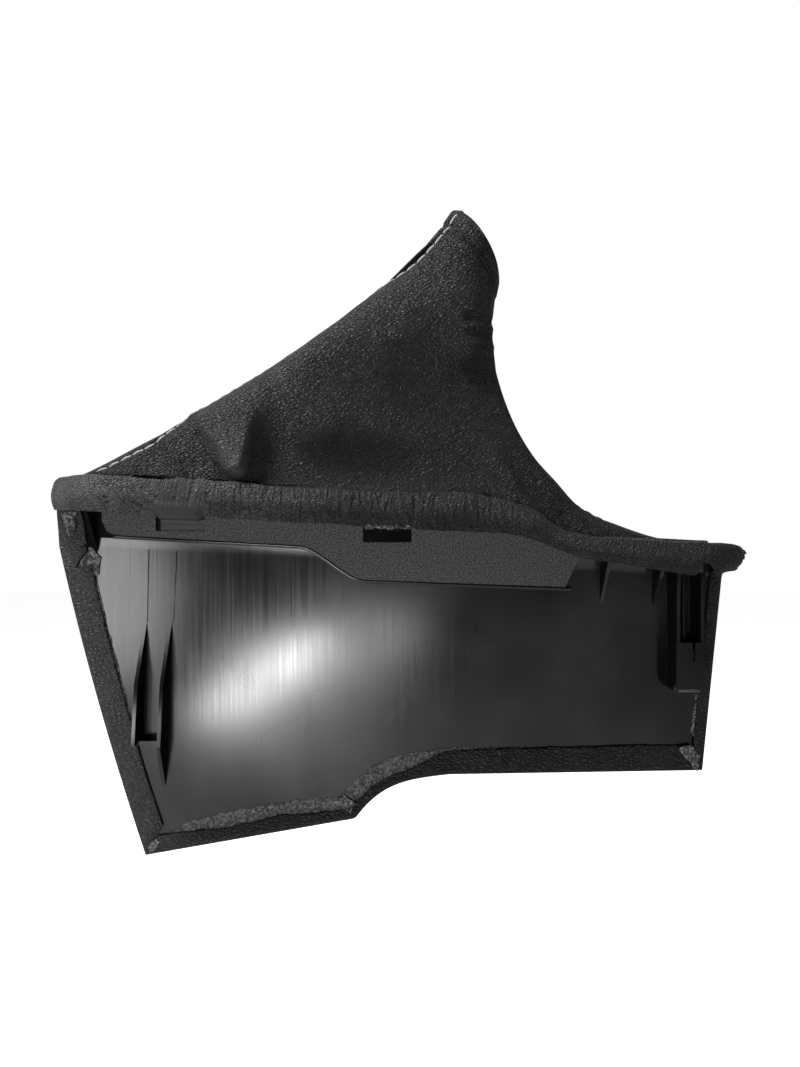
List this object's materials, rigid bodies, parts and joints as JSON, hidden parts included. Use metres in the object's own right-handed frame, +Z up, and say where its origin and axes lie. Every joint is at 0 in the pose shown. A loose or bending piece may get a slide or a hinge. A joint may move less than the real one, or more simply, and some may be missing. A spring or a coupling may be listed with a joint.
{
  "type": "handbrake boot",
  "caption": "Sewn leather gaiter that tapers up to a slanted oval mouth, on a moulded plastic console base whose tall side panel has a glued leather cover.",
  "frame": {"origin": "a point on the bare inner face of the side panel, midway along the panel and a little below its middle height", "axes": "+X along the boot towards the lower end of the deck, +Y out of the side panel's covered face, +Z up towards the gaiter's mouth"},
  "size_m": [0.3485, 0.0732, 0.3203],
  "materials": {
    "base_plastic": "black injection moulding, polished on the panel's inner face",
    "cover_leather": "black smooth-grain leather, glued and turned over the panel's edges",
    "gaiter_leather": "black soft leather, sewn along the front spine and the rear"
  },
  "bodies": {
    "root": {"base_moulding": "base_plastic", "side_cover": "cover_leather", "gaiter_near_side": "gaiter_leather", "gaiter_far_side": "gaiter_leather"}
  },
  "joints": []
}
